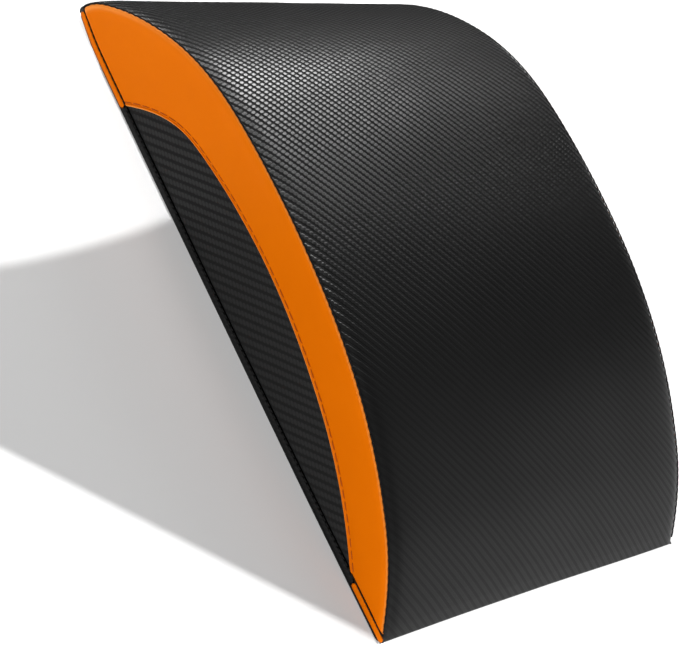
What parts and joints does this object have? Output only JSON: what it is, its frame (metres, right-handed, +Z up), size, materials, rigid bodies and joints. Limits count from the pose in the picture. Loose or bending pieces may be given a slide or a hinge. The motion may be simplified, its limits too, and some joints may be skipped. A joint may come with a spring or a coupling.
{
  "type": "ab mat",
  "caption": "Arched foam wedge for sit-ups, in a sewn black vinyl cover with orange side bands lapped over black inserts. It lies flat on the floor.",
  "frame": {"origin": "centre of the base, on the floor", "axes": "+X along the mat from its thick end to its thin end, +Y across it to its left side, +Z up from the floor"},
  "size_m": [0.37, 0.3096, 0.067],
  "materials": {
    "foam": "open-cell firm foam, matt",
    "embossed_vinyl": "black vinyl with an embossed twill, satin",
    "side_vinyl": "black vinyl with a faint embossed twill, satin",
    "base_vinyl": "black vinyl, matt",
    "orange_leatherette": "orange leatherette with a fine grain, satin"
  },
  "bodies": {
    "root": {"foam_core": "foam", "top_panel": "embossed_vinyl", "base_panel": "base_vinyl", "left_side_band": "orange_leatherette", "right_side_band": "orange_leatherette", "left_side_insert": "side_vinyl", "right_side_insert": "side_vinyl"}
  },
  "joints": []
}
